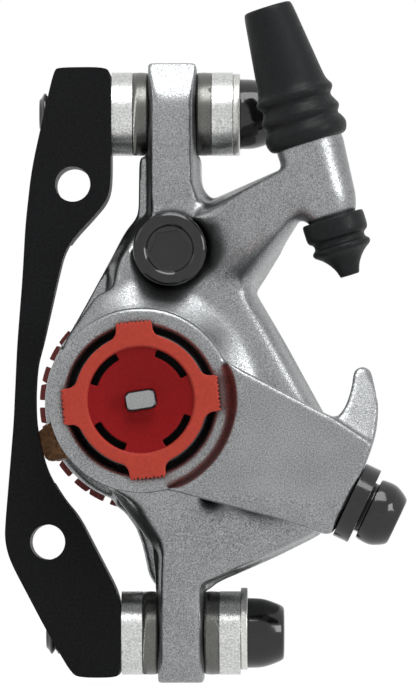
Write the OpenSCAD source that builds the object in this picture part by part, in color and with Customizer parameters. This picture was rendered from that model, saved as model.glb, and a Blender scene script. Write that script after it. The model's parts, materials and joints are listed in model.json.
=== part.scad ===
/*
Mechanical disc brake caliper.
Every piece is drawn as seen from its outboard side: x to the right, y up and
z toward the viewer. upright() then turns the drawing so that up is +Z and the
viewer stands on the -Y side. The origin is midway between the two tapped
holes of the adapter, on the adapter's mounting face.
*/

/* [Frame mount] */
// Distance between the two tapped holes of the adapter
mount_pitch = 51; // [50:0.5:52]
// Lean of the line through the tapped holes from the vertical
mount_lean = 4; // [3:0.5:5]
// Minor diameter of the tapped holes
tapped_hole_d = 5; // [4.5:0.1:5.4]
// Thickness of the adapter at its two ends
adapter_thick = 13; // [12:0.5:13.5]
// Thickness of the adapter's middle
adapter_waist = 8; // [6:0.5:9]

/* [Mount bolts] */
// Diameter of the mount bolts
mount_bolt_d = 6; // [5:0.5:6.5]
// Height of the upper mount bolt above the origin
upper_bolt_y = 35.6; // [35:0.1:36]
// Height of the lower mount bolt, below the origin
lower_bolt_y = -38.4; // [-39:0.1:-38]
// Diameter of the cup and ball washers
washer_d = 11.9; // [11:0.1:12.4]
// Thickness of the cup washers
cup_thick = 3; // [2.6:0.1:3]
// Radius of the spherical seat between cup and ball washers
seat_r = 8.5; // [8.3:0.1:9.5]
// Thickness of a ball washer at its rim
ball_rim = 2.06; // [1.8:0.02:2.06]
// Thickness of the flat washers
flat_thick = 1; // [0.8:0.1:1.2]

/* [Outer housing] */
// Distance of the piston axis to the right of the origin
piston_x = 11.76; // [11.6:0.02:11.9]
// Height of the piston axis, below the origin
piston_y = -5.44; // [-5.6:0.02:-5.3]
// Diameter of the piston boss
boss_d = 26.14; // [25.6:0.1:26.6]
// Height of the piston boss above the adapter's face
boss_face = 6; // [5.8:0.1:6.1]
// Height of the web above the adapter's face
web_face = 3.2; // [2.6:0.1:3.4]
// Depth of the body from the adapter's face to the joint of its halves
joint_depth = 14; // [13.8:0.1:14.2]
// Diameter of the bolt holes in the ears
ear_hole_d = 8.5; // [7:0.1:8.6]

/* [Cable stop] */
// Lean of the cable stop from the vertical
stop_lean = 17.2; // [17:0.1:17.4]
// Diameter of the cable stop at its upper end
stop_top_d = 9.3; // [9:0.1:9.4]
// Diameter of the cable stop at its lower end
stop_low_d = 8; // [7.8:0.1:8.1]
// Diameter of the seat for the cable housing
cable_seat_d = 5.1; // [4.6:0.1:5.4]
// Diameter of the passage for the inner cable
cable_hole_d = 2.2; // [1.8:0.1:2.4]

/* [Lever] */
// Slope of the lever arm below the horizontal at rest
lever_slope = 25.4; // [25:0.1:25.8]
// Distance from the piston axis to the arm's end face
lever_length = 32.5; // [32:0.1:32.8]
// Diameter of the arm's boss
lever_boss_d = 22.8; // [22.6:0.1:23]
// Radius of the step round the knob
knob_step_r = 12.9; // [12.6:0.1:13.2]
// Diameter of the anchor bolt's head
anchor_head_d = 9.2; // [8.8:0.1:9.6]

/* [Ball and ramp] */
// Diameter of the three balls
ball_d = 3.97; // [3.9:0.01:4]
// Wall between the spindle's side and the circle that the balls roll on
track_wall = 3; // [2.9:0.05:3.1]
// Land between that circle and the piston bore
track_land = 3; // [2.9:0.05:3.1]
// Swing of the lever from rest to full brake
lever_swing = 25; // [20:1:26]
// Travel of the drive cam over the full swing
cam_lift = 0.55; // [0.4:0.05:0.6]
// Depth of the tracks in the faces of race and cam
track_depth = 0.93; // [0.8:0.01:0.96]
// Diameter of the cam's spindle
spindle_d = 10; // [9.8:0.1:10]
// Diameter of the foot screw's thread
screw_d = 7; // [6.6:0.1:7]

/* [Knobs] */
// Diameter over the tabs of the outboard knob
knob_tip_d = 22.6; // [22:0.1:23]
// Diameter of the outboard knob's disc
knob_disc_d = 19.6; // [19.2:0.1:19.8]
// Width of the tabs
knob_tab_w = 5.1; // [4.6:0.1:5.4]
// Turn of the first tab above the horizontal
knob_tab_turn = 5.3; // [0:0.1:20]
// Diameter of the inboard knob
inboard_knob_d = 31.1; // [30.8:0.1:31.6]
// Number of wide gaps round the inboard knob
inboard_gaps = 16; // [12:1:18]

/* [Pads] */
// Width of the pads across the slide direction
pad_w = 23.2; // [22.6:0.1:23.4]
// Thickness of the backing plates
plate_thick = 1.8; // [1.6:0.1:1.8]
// Thickness of the friction linings
lining_thick = 2.6; // [2:0.1:2.6]
// Gap between the linings with the brake off
lining_gap = 5.6; // [5.4:0.1:5.8]

/* [Hidden] */
$fn = 96;

// Running clearance of threads and shafts, and clearance between loose pieces
fit = 0.02;
play = 0.3;
// Overlap that makes two joined solids one
sink = 0.2;
// How far a cutter runs past the face that it cuts
past = 1;

// Depth levels, measured toward the viewer from the adapter's face
rotor_level = -16;
bolt_level = -adapter_thick / 2;
ear_front = 0.5;
ear_back = -13.5;
cable_level = 10.2;
joint_level = -joint_depth;
slot_depth = 4.2;
inner_face = -29.7;
out_lining_face = rotor_level + lining_gap / 2;
out_plate_face = out_lining_face + lining_thick;
out_plate_back = out_plate_face + plate_thick;
in_lining_face = rotor_level - lining_gap / 2;
in_plate_face = in_lining_face - lining_thick;
in_plate_back = in_plate_face - plate_thick;
ball_level = -0.85;
race_face = ball_level + ball_d / 2 - track_depth;
cam_face = ball_level - ball_d / 2 + track_depth;
flange_back = -5.2;
wall_inside = 3;
arm_under = 7.5;
arm_end_under = 5;
arm_floor = 13;
arm_top = 15;
nut_floor = 11.5;
knob_under = 13.6;
knob_top = 16.3;

piston = [piston_x, piston_y];
rotor_centre = [-54.2, -34.2];
rotor_slot_r = 82;
pad_lean = 204;
bolt_1 = [15.7, 16.05];
bolt_2 = [29.2, -15.3];
body_head_r = 5.2;
body_shank_r = 3;
body_seat = 2.2;
inner_boss_r = 14.65;
washer_r = washer_d / 2;
ball_r = ball_d / 2;
track_r = spindle_d / 2 + track_wall;
bore_r = track_r + track_land;
bush_r = spindle_d / 2 + 1.8;
nut_thread_r = (spindle_d / 2 - 0.1) * cos(30);
groove_r = ball_r + 0.065;
ramp_turn = lever_swing / 2;
ball_turns = [30, 150, 270];

// Faces of the ears that the ball washers bear on
upper_ear = [12.43, 19.3];
lower_ear = [13.85, 20.4];
seat_gap = 0.14;

// Outline of the adapter, clockwise from its upper left corner
adapter_outline = [[-0.9, 41.6], [-0.2, 42.05], [6.4, 42.1], [7.2, 41.2],
    [7.2, 25.3], [6.55, 23], [4.4, 20.5], [2.8, 18.8], [1.3, 17],
    [0.4, 15.1], [-0.3, 12.2], [-1.1, 8.7], [-2.45, 2.7], [-3.25, -0.1],
    [-3.54, -3.9], [-3.5, -7.7], [-3.2, -10.2], [-2.3, -14], [-1.4, -16.3],
    [0.5, -19.4], [2.6, -21.8], [8.62, -33.4], [8.62, -44], [7.9, -44.7],
    [2.9, -44.7], [1.6, -44.1], [-2.1, -37.7], [-7.2, -28], [-7.9, -25],
    [-7.7, -21.7], [-6.6, -8.6], [-6.1, 2.7], [-5.35, 12.1], [-4.95, 19.6],
    [-4.1, 27.3], [-2.8, 33.4]];

// Silhouette of the outer housing behind its drafted front
body_outline = [[11.2, 29.3], [12.3, 30], [12.5, 42.2], [19.5, 42.2],
    [19.94, 41.7], [19.94, 25.6], [20.9, 23.9], [22.4, 22.9], [27.7, 10.2],
    [32.05, 2.8], [37.7, -7.5], [40.4, -13], [41, -16.5], [40, -20.5],
    [37, -24.4], [31, -27.4], [26.3, -29.5], [22.7, -31], [21.2, -32],
    [20.5, -33.6], [20.4, -45], [14, -45], [13.7, -34.9], [13.4, -29.3],
    [12.9, -24.6], [11.9, -21.7], [9.7, -19.4], [7.4, -17.9], [1, -8],
    [0.4, 2.6], [3.4, 7.9], [6.9, 14.3], [9.3, 18.9], [11.1, 20.9]];

// Outline of the inner housing's bridge
bridge_outline = [[8.8, 17.8], [11, 20.2], [13, 23], [19.4, 23.4],
    [21.3, 21.8], [27.2, 9.6], [37, -7.8], [40.2, -15.4], [39.4, -20.2],
    [36.4, -23.9], [26, -28.6], [21, -28], [13.5, -21.5], [11, -19],
    [3, -6], [2, 4]];

// Front of the web, with straight drafted sides
web_front = [[8.2, 14], [9, 15.4], [13.2, 16.4], [19.4, 17], [22.4, 17],
    [26.5, 9.9],
    [36.3, -7.6], [39.4, -15.5], [38.4, -20], [35.6, -23.3], [25, -28.1],
    [17, -27.2], [13.2, -21.5], [6, -14]];
web_back = [[6.9, 14.3], [9.9, 19.4], [14, 23], [20.9, 22.5], [27.6, 10.1],
    [37.6, -7.5], [40.9, -16.5], [40, -20.5], [37, -24.4], [25.4, -29.8],
    [15.5, -29.5], [12.4, -22], [4, -14]];

// Curve that eases the corner c between the points p and n
ease_steps = 4;
function ease(p, c, n, reach) = let (
    a = c + (p - c) * min(0.45, reach / norm(p - c)),
    b = c + (n - c) * min(0.45, reach / norm(n - c)))
    [for (k = [0 : ease_steps]) let (t = k / ease_steps)
        a * pow(1 - t, 2) + c * 2 * t * (1 - t) + b * pow(t, 2)];

// Closed outline with every corner eased
function smooth(points, reach) = let (count = len(points))
    [for (i = [0 : count - 1]) each ease(points[(i + count - 1) % count],
        points[i], points[(i + 1) % count], reach)];

// Profile with every corner eased but its two ends
function smooth_line(points, reach) = let (last = len(points) - 1)
    concat([points[0]], [for (i = [1 : last - 1])
        each ease(points[i - 1], points[i], points[i + 1], reach)],
        [points[last]]);

// Turns the drawing upright
module upright() { rotate([90, 0, 0]) children(); }

// Straight solid of an outline between two depth levels
module slab(outline, low, high) {
    translate([0, 0, low]) linear_extrude(high - low) polygon(outline);
}

// Round solid whose axis points at the viewer
module disc(centre, r, low, high) {
    translate([centre[0], centre[1], low]) cylinder(r = r, h = high - low);
}

// Ring whose axis points at the viewer
module ring(centre, r_in, r_out, low, high) {
    difference() {
        disc(centre, r_out, low, high);
        disc(centre, r_in, low - past, high + past);
    }
}

// Solid with drafted sides between a front outline and a wider back one
module drafted(front, back, low, high) {
    hull() {
        slab(front, high - 0.1, high);
        slab(back, low, low + 0.1);
    }
}

// Places a drawing on the piston axis
module on_piston() { translate([piston_x, piston_y, 0]) children(); }

// Places a piece with its axis along x, at a mount bolt
module on_bolt(x, y) {
    translate([x, y, bolt_level]) rotate([0, 90, 0]) children();
}

// Places a piece with its axis down the cable stop, from the boot's top
stop_start = [29.5, 50.06];
module on_stop(s) {
    translate([stop_start[0], stop_start[1], cable_level])
        rotate([0, 90, stop_lean - 90]) translate([0, 0, s]) children();
}

// Places a piece with its axis along the lever arm
module on_arm(s) {
    translate([piston_x, piston_y, cable_level])
        rotate([0, 90, -lever_slope]) translate([0, 0, s]) children();
}

// Solid of revolution from a list of [distance, radius] points
module turned(profile) {
    last = len(profile) - 1;
    rotate_extrude() polygon(concat([[0, profile[0][0]]],
        [for (p = profile) [p[1], p[0]]], [[0, profile[last][0]]]));
}

// Profile of a threaded stretch: crests one pitch apart
function thread_profile(start, turns, crest, root) =
    [for (i = [0 : turns - 1], p = [[0, root], [0.35, crest],
        [0.6, crest], [0.95, root]]) [start + i + p[0], p[1]]];

// Adapter

module adapter() {
    lean = [sin(mount_lean), cos(mount_lean)] * mount_pitch / 2;
    waist_low = -17;
    waist_high = 17;
    color("#1c1d1f") upright() difference() {
        slab(smooth(adapter_outline, 2.5), -adapter_thick, 0);
        translate([-20, waist_low, -adapter_thick - past])
            cube([40, waist_high - waist_low,
                adapter_thick - adapter_waist + past]);
        for (side = [-1, 1])
            disc(side * lean, tapped_hole_d / 2, -adapter_thick - past, past);
        for (y = [upper_bolt_y, lower_bolt_y])
            on_bolt(-12, y) cylinder(d = mount_bolt_d, h = 30);
    }
}

// Outer housing

// Outline shared by a pad and its pocket, wider by a margin
module pad_face(margin) {
    half = pad_w / 2 + margin;
    intersection() {
        circle(r = 12.7 + margin);
        rotate(pad_lean) translate([-half, -half]) square(2 * half);
    }
}

// Pocket that the pads slide in, open toward the rotor's centre
module pad_pocket(low, high) {
    margin = 0.4;
    half = pad_w / 2 + margin;
    on_piston() translate([0, 0, low]) linear_extrude(high - low) union() {
        pad_face(margin);
        rotate(pad_lean) translate([0, -half]) square([40, 2 * half]);
    }
}

module stop_arm() {
    hull() {
        slab([[18.4, 20.4], [20, 21], [26.8, 11.6], [22, 11]], web_face - 0.4,
            web_face);
        slab([[17, 21.5], [21.5, 23.3], [28, 10.3], [20, 8]], -9, -8.9);
        slab([[34.5, 28.2], [36.3, 23.4], [35.4, 22.8], [33.6, 27.9]], 13.6,
            13.7);
        slab([[32.2, 27.7], [36, 24], [34.4, 20.2], [33, 21]], 6.4, 6.5);
    }
}

// Wide tube from the upper boot's end, and thin end inside the lower boot
flare_from = 20.12;
spigot_from = 31.1;
spigot_d = 6;

module outer_housing_blank() {
    disc(piston, boss_d / 2, -8.6, boss_face);
    slab(smooth(body_outline, 1.5), joint_level, -1.6);
    drafted(web_front, web_back, -2, web_face);
    // Ears whose fronts fall away from the web to their ends
    hull() {
        slab([[13.1, 12], [13.1, 15], [18.8, 15], [18.8, 12]],
            web_face - 0.1, web_face);
        slab([[13.1, 41.9], [13.1, 42.2], [18.7, 42.2], [18.7, 41.9]],
            ear_front - 0.1, ear_front);
        slab([[12.43, 12], [12.43, 42.7], [19.3, 42.7], [19.94, 12]],
            -2, -1.9);
    }
    hull() {
        slab([[14.6, -20], [19.8, -20], [19.8, -27], [14.6, -27]],
            web_face - 0.1, web_face);
        slab([[14.5, -44.9], [19.7, -44.9], [19.7, -44.6], [14.5, -44.6]],
            ear_front - 0.1, ear_front);
        slab([[13.85, -20], [20.4, -20], [20.4, -45.45], [13.85, -45.45]],
            -2, -1.9);
    }
    // Hollow corner between the upper ear and the stop's arm
    difference() {
        slab([[18.4, 18], [18.4, 25.6], [23.4, 25.6], [23.4, 20.5],
            [21, 18]], -2, 2.1);
        translate([23.4, 25.8, -2 - past])
            cylinder(r1 = 3.2, r2 = 4.6, h = 5);
    }
    translate([0, 0, ear_back]) linear_extrude(-ear_back - 2 + sink)
        polygon([[12.43, 30], [12.43, 42.7], [19.3, 42.7], [19.3, 30]]);
    translate([0, 0, ear_back]) linear_extrude(-ear_back - 2 + sink)
        polygon([[13.85, -36], [20.4, -36], [20.4, -45.45],
            [13.85, -45.45]]);
    // Shoulder that runs from the boss down to the web
    intersection() {
        on_piston() translate([0, 0, web_face - 0.4])
            cylinder(r1 = 17.4, r2 = 13.3, h = 2.6);
        slab(smooth(body_outline, 1.5), joint_level, boss_face);
    }
    stop_arm();
    // Tube inside the upper boot, then the flared tube below it
    on_stop(12) cylinder(d = stop_top_d, h = flare_from - 12 + sink);
    on_stop(flare_from) cylinder(d1 = stop_top_d + 0.5, d2 = stop_low_d,
        h = spigot_from - flare_from);
    on_stop(spigot_from - sink) cylinder(d = spigot_d, h = 3.2);
}

module outer_housing() {
    color("#c3c6c8") upright() difference() {
        outer_housing_blank();
        // Ears end short of the joint level and thin to the washers' seats
        translate([0, 31, joint_level - past]) cube([40, 20, past + 0.5]);
        translate([0, -60, joint_level - past]) cube([24, 26, past + 0.5]);
        translate([19.3, 29.4, joint_level - past]) cube([5, 20, 20]);
        translate([8, 29.4, joint_level - past]) cube([4.43, 20, 20]);
        translate([8, -50, joint_level - past]) cube([5.85, 17.4, 20]);
        translate([20.4, -50, joint_level - past]) cube([5, 17.8, 20]);
        // Piston bore, bush seat and pad pocket
        disc(piston, bore_r, joint_level - past, wall_inside);
        disc(piston, bush_r, 0, boss_face + past);
        pad_pocket(joint_level - past, out_plate_back + 0.2);
        // Bolt holes
        on_bolt(5, upper_bolt_y) cylinder(d = ear_hole_d, h = 20);
        on_bolt(5, lower_bolt_y) cylinder(d = ear_hole_d, h = 22);
        for (c = [bolt_1, bolt_2]) {
            disc(c, body_shank_r + 0.2, joint_level - past, 10);
            disc(c, body_head_r + 0.25, body_seat, 12);
        }
        // Seat of the tension screw
        disc(tension_at, 1.25 + fit, -6, 10);
        // Cable stop bore
        on_stop(11) cylinder(d = cable_seat_d, h = 16);
        on_stop(20) cylinder(d = cable_hole_d, h = 16);
        // Hole for the tang of the return spring
        on_piston() rotate(spring_tang) translate([spring_r, 0, 4.6])
            cylinder(r = spring_wire / 2 + 0.05, h = 3);
    }
}

// Inner housing

module inner_housing() {
    color("#bfc3c6") upright() difference() {
        union() {
            disc(piston, inner_boss_r, inner_face, joint_level - slot_depth);
            slab(smooth(bridge_outline, 1.5), -26.1, joint_level);
            for (c = [bolt_1, bolt_2]) disc(c, 6.4, -27.6, joint_level);
        }
        disc(rotor_centre, rotor_slot_r, joint_level - slot_depth, past);
        pad_pocket(in_plate_back - 0.2, joint_level + past);
        disc(piston, 9.8, -25.6, joint_level);
        disc(piston, 8 + fit, inner_face - past, -20);
        for (c = [bolt_1, bolt_2]) disc(c, body_shank_r, -26.4, 0);
    }
}

// Fasteners

// Hexagonal socket of the given width across flats, opening at the top
module hex_socket(flats, top, depth) {
    translate([0, 0, top - depth])
        cylinder(r = flats / sqrt(3), h = depth + past, $fn = 6);
}

module body_bolt(centre) {
    length = 26;
    head_top = body_seat + 5;
    translate([centre[0], centre[1], 0]) difference() {
        union() {
            turned([[body_seat, body_head_r], [head_top - 0.7, body_head_r],
                [head_top - 0.2, body_head_r - 0.3],
                [head_top, body_head_r - 0.8]]);
            translate([0, 0, body_seat - length])
                cylinder(r = body_shank_r - fit, h = length + 1);
        }
        translate([0, 0, head_top - 0.9])
            cylinder(r1 = 2.95, r2 = 3.35, h = 0.95);
        hex_socket(5, head_top, 3);
        translate([0, 0, head_top - 4]) cylinder(r = 1.85, h = 4);
    }
}

module body_bolts() {
    color("#17181a") upright() { body_bolt(bolt_1); body_bolt(bolt_2); }
}

// Screw along x: thread from its tip, then a plain shank and a domed head
module mount_bolt(tip, seat, y) {
    r = mount_bolt_d / 2 - fit;
    turns = 5;
    head = smooth_line([[0, 5], [2.2, 4.95], [4.3, 4.2], [5.1, 3.75],
        [5.2, 3.27]], 1.2);
    color("#141517") upright() on_bolt(0, y) difference() {
        turned(concat([[tip, r - 0.9]], thread_profile(tip + 0.3, turns,
            r, r - 0.6), [[tip + turns + 0.3, r], [seat, r]],
            [for (p = head) [seat + p[0], p[1]]]));
        translate([0, 0, seat + 5.2 + past]) rotate([180, 0, 0])
            cylinder(r = 5 / sqrt(3), h = 3.5 + past, $fn = 6);
    }
}

upper_seat = upper_ear[1] + ball_rim + seat_gap + cup_thick + flat_thick
    + fit;
lower_seat = lower_ear[1] + ball_rim + seat_gap + cup_thick + flat_thick
    + fit;

module upper_mount_bolt() { mount_bolt(-3.1, upper_seat, upper_bolt_y); }
module lower_mount_bolt() { mount_bolt(-2.1, lower_seat, lower_bolt_y); }

// Ball washer with its flat face at 0 and its crown along +z
module ball_washer() {
    drop = sqrt(seat_r * seat_r - washer_r * washer_r);
    bulge = 0.25;
    difference() {
        intersection() {
            translate([0, 0, ball_rim - drop]) sphere(r = seat_r);
            rotate_extrude() polygon([[0, 0], [washer_r - bulge, 0],
                [washer_r - 0.05, bulge], [washer_r, ball_rim / 2],
                [washer_r - 0.05, ball_rim], [washer_r - 0.05, 9], [0, 9]]);
        }
        translate([0, 0, -past]) cylinder(d = mount_bolt_d + 1, h = 9);
    }
}

// Cup washer that fits over a ball washer placed at 0
module cup_washer() {
    drop = sqrt(seat_r * seat_r - washer_r * washer_r);
    difference() {
        translate([0, 0, ball_rim + seat_gap])
            cylinder(r = washer_r, h = cup_thick);
        translate([0, 0, ball_rim - drop]) sphere(r = seat_r + fit);
        translate([0, 0, -past])
            cylinder(d = mount_bolt_d + 0.6, h = 12);
    }
}

// Washers on both faces of an ear
module washer_pair(ear, y) {
    color_gap = 0.01;
    upright() {
        on_bolt(ear[1] + color_gap, y) children();
        on_bolt(ear[0] - color_gap, y) rotate([180, 0, 0]) children();
    }
}

module flat_washer(ear, y, drop) {
    face = ear[1] + ball_rim + seat_gap + cup_thick + 0.015;
    color("#8f9294") upright() on_bolt(face, y + drop) difference() {
        cylinder(d = washer_d - 0.2, h = flat_thick - 0.01);
        translate([0, 0, -past]) cylinder(d = mount_bolt_d + 1.4, h = 5);
    }
}

module upper_cup_washers() {
    color("#c9cac8") washer_pair(upper_ear, upper_bolt_y) cup_washer();
}
module lower_cup_washers() {
    color("#c9cac8") washer_pair(lower_ear, lower_bolt_y) cup_washer();
}
module upper_ball_washers() {
    color("#77776f") washer_pair(upper_ear, upper_bolt_y) ball_washer();
}
module lower_ball_washers() {
    color("#77776f") washer_pair(lower_ear, lower_bolt_y) ball_washer();
}
module upper_flat_washer() { flat_washer(upper_ear, upper_bolt_y, -0.1); }
module lower_flat_washer() { flat_washer(lower_ear, lower_bolt_y, 0.6); }

// Rubber boots of the cable stop

module cable_boot_top() {
    bore = stop_top_d / 2 + 0.06;
    color("#202123") upright() on_stop(0) difference() {
        turned(smooth_line([[0, 2.9], [0.1, 3.4], [1, 3.6], [11.2, 4.85],
            [12.2, 5.1], [12.9, 5.62], [13.5, 5.5], [14.2, 4.85],
            [15.1, 5.3], [15.9, 5.75], [16.5, 5.5], [17, 5.1],
            [17.6, 5.6], [18.6, 6], [19.8, 5.6], [20.1, 5]], 1));
        turned([[-past, 2.62], [10, 2.8], [11.9, bore], [20.1 + past, bore]]);
    }
}

module cable_boot_bottom() {
    bore = spigot_d / 2 + fit;
    color("#202123") upright() on_stop(0) difference() {
        turned(smooth_line([[31.12, 4.2], [31.2, 4.48], [33.8, 4.46],
            [34.2, 3.66], [34.9, 3.66], [35.3, 4.24], [35.9, 4.18],
            [36.6, 3.1], [37.5, 2.3], [38.5, 1.7], [39.6, 1.38]], 0.8));
        turned([[31.1 - past, bore], [34.3, bore], [34.8, 2.2], [36, 2],
            [38, 0.9], [39.6 + past, 0.8]]);
    }
}

// Lever arm and cable anchor

tension_at = [21.4, -18.3];
arm_dir = [cos(lever_slope), -sin(lever_slope)];
arm_side = [sin(lever_slope), cos(lever_slope)];
arm_end = piston + arm_dir * lever_length;
// Half the width of the arm's end face
end_half = 5.6;
end_top = arm_end + arm_side * (end_half - 0.1);
end_low = arm_end - arm_side * end_half;

// Outline of the arm with its cable hook
arm_outline = [[13.5, 5.6], [17.2, 4.2], [19.2, 2.6], [21.5, 1.2],
    [38.9, -7.9], [39.6, -7.7], [40.7, -6.1], [41.5, -3.4], [41.66, -1.6],
    [42.1, -0.9], [43, -0.65], [43.9, -0.9], [44.3, -1.5], [44.9, -4],
    [45.2, -5.8], [45.2, -7.8], [44.8, -10.6], end_top, end_low,
    [37.4, -24.3], [32.4, -22.5], [23.2, -20.05], [18.7, -18.9],
    [10.2, -16.6], [11, -6]];

module lever_arm() {
    color("#c6c9cb") upright() difference() {
        union() {
            disc(piston, lever_boss_d / 2, arm_under, arm_floor);
            slab(smooth(arm_outline, 2), 8.5, arm_top);
            // Thick end that carries the anchor bolt
            on_arm_flat() translate([lever_length - 6, -end_half + 0.6,
                arm_end_under]) cube([6, 2 * end_half - 1.2,
                    arm_top - 2 - arm_end_under]);
        }
        // Broad bevel along the lower edge
        on_arm_flat() translate([4, -11.55, arm_top - 2.2]) rotate([35, 0, -1])
            cube([40, 6, 6]);
        // Recess that clears the knob's tabs
        disc(piston, knob_step_r, arm_floor, arm_top + past);
        disc(piston, 8.2, nut_floor, arm_top + past);
        // Room for the return spring
        ring(piston, 7.9, 10.3, arm_under - past, 10.3);
        // Drive hexagon on the cam
        on_piston() translate([0, 0, arm_under - past])
            cylinder(r = spindle_d / 2 - 0.1 + fit, h = 10, $fn = 6);
        // Thread of the anchor bolt and groove for the cable on the hook
        on_arm(lever_length - 9) cylinder(r = 2.5, h = 9 + past);
        translate([44.7, -0.5, cable_level]) rotate([90, 0, 6])
            cylinder(r = 1.1, h = 9);
    }
}

// Turns a drawing so that its x runs along the arm
module on_arm_flat() {
    translate([piston_x, piston_y, 0]) rotate(-lever_slope) children();
}

module anchor_washer() {
    color("#17181a") upright() on_arm(lever_length + 0.01) difference() {
        cylinder(r = 5.6, h = 2.35);
        translate([0, 0, -past]) cylinder(r = 2.6, h = 5);
    }
}

module anchor_bolt() {
    head = smooth_line([[3, 4.2], [3.05, 4.55], [5.2, 4.7], [6.7, 3.95],
        [7.4, 3.4], [7.45, 2.9]], 1.2);
    scale_r = anchor_head_d / 9.2;
    color("#141517") upright() on_arm(lever_length) difference() {
        turned(concat([[-8.5, 2.1], [-8.2, 2.5 - fit], [2.37, 2.5 - fit],
            [2.37, 3.7], [3, 3.7]], [for (p = head) [p[0], p[1] * scale_r]]));
        translate([0, 0, 4.6]) cylinder(r = 2 / cos(30), h = 5, $fn = 6);
    }
}

// Mechanism on the piston axis

module arm_nut() {
    color("#8a8d90") upright() difference() {
        disc(piston, 6.6, nut_floor + 0.01, 14.2);
        disc(piston, nut_thread_r + fit, 0, 20);
        // Slots for a pin spanner
        on_piston() for (turn = [0 : 90 : 270]) rotate(turn)
            translate([5.6, -0.9, 13]) cube([2, 1.8, 3]);
    }
}

// Torsion spring: a round wire along a helix with one tang in the housing
spring_r = 9.1;
spring_wire = 1.1;
spring_pitch = 1.15;
spring_turns = 2;
spring_tang = 200;
spring_steps = 28;
spring_sides = 8;

function helix_point(i) = let (turn = spring_tang + 360 * i / spring_steps)
    [spring_r * cos(turn), spring_r * sin(turn),
        boss_face + spring_wire / 2 + 0.02 + spring_pitch * i / spring_steps];
function helix_ring(i) = let (c = helix_point(i),
    turn = spring_tang + 360 * i / spring_steps)
    [for (k = [0 : spring_sides - 1]) let (a = 360 * k / spring_sides)
        [c[0] + spring_wire / 2 * cos(a) * cos(turn),
            c[1] + spring_wire / 2 * cos(a) * sin(turn),
            c[2] + spring_wire / 2 * sin(a)]];

module return_spring() {
    rings = spring_steps * spring_turns;
    points = [for (i = [0 : rings]) each helix_ring(i)];
    sides = [for (i = [0 : rings - 1], k = [0 : spring_sides - 1])
        let (next = (k + 1) % spring_sides, low = i * spring_sides,
            high = low + spring_sides)
        [low + k, low + next, high + next, high + k]];
    first = [for (k = [spring_sides - 1 : -1 : 0]) k];
    end = [for (k = [0 : spring_sides - 1]) rings * spring_sides + k];
    color("#6f7276") upright() on_piston() union() {
        polyhedron(points, concat(sides, [first, end]));
        rotate(spring_tang) translate([spring_r, 0, 4.7])
            cylinder(r = spring_wire / 2, h = 1.8, $fn = 24);
    }
}

module dust_seal() {
    color("#202123") upright()
        ring(piston, 10.5, 11.2, boss_face + 0.01, boss_face + 0.65);
}

module cam_bush() {
    color("#a98a4a") upright()
        ring(piston, spindle_d / 2 + 0.05, bush_r - 0.01, wall_inside,
            boss_face - 0.01);
}

module cam_seal() {
    color("#202123") upright()
        ring(piston, spindle_d / 2 - 0.55, spindle_d / 2 + fit, 4, 5.1);
}

// Ball track: part of a ring groove with round ends, tilted for a ramp
module track(from, sweep, tilt) {
    rotate(from + sweep / 2) rotate([tilt, 0, 0]) rotate(-sweep / 2) {
        rotate_extrude(angle = sweep) translate([track_r, 0])
            circle(r = groove_r, $fn = 48);
        for (turn = [0, sweep]) rotate(turn) translate([track_r, 0, 0])
            sphere(r = groove_r + 0.003, $fn = 48);
    }
}

module fixed_race() {
    color("#8d9196") upright() difference() {
        ring(piston, spindle_d / 2 + 0.3, bore_r - 0.01,
            race_face, wall_inside - 0.01);
        on_piston() translate([0, 0, ball_level])
            for (turn = ball_turns) track(turn, ramp_turn, 0);
    }
}

module drive_cam() {
    ramp_arc = track_r * ramp_turn * PI / 180;
    tilt = -asin(cam_lift / ramp_arc);
    groove_low = 3.9;
    groove_high = 5.2;
    color("#92969b") upright() difference() {
        union() {
            disc(piston, bore_r - 0.7, flange_back, cam_face);
            disc(piston, spindle_d / 2, flange_back, arm_under - play);
            on_piston() translate([0, 0, arm_under - play - sink])
                cylinder(r = spindle_d / 2 - 0.1, h = nut_floor - arm_under
                    + play + sink, $fn = 6);
            disc(piston, nut_thread_r, nut_floor - sink, 13.9);
        }
        // Ramps rise clockwise, so the cam is pushed inboard
        on_piston() translate([0, 0, ball_level + cam_lift / 2])
            for (turn = ball_turns) track(turn - ramp_turn, ramp_turn, tilt);
        // Groove of the seal
        ring(piston, spindle_d / 2 - 0.6, spindle_d, groove_low,
            groove_high);
        // Thread of the foot screw
        disc(piston, screw_d / 2 + fit, flange_back - past, 20);
    }
}

module ball_cage() {
    color("#b9a15a") upright() difference() {
        ring(piston, spindle_d / 2 + 0.4, bore_r - 0.4, ball_level - 0.5,
            ball_level + 0.5);
        on_piston() for (turn = ball_turns) rotate(turn)
            translate([track_r, 0, ball_level - 2])
                cylinder(r = ball_r + 0.06, h = 4);
    }
}

module balls() {
    color("#d8dadc") upright() on_piston() for (turn = ball_turns)
        rotate(turn) translate([track_r, 0, ball_level])
            sphere(r = ball_r);
}

// Foot screw: thread inside the cam, rectangular tip through the knob
pin_turn = 11.5;
module foot_screw() {
    color("#c9cbcc") upright() on_piston() {
        turned([[-7.6, 2.3], [-7.2, 2.9], [-5, 2.9], [-4.6, screw_d / 2],
            [9, screw_d / 2], [9.4, 2.4], [11, 2.4]]);
        rotate(pin_turn) translate([-2.05, -1, 10.6]) cube([4.1, 2, 6.5]);
    }
}

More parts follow.
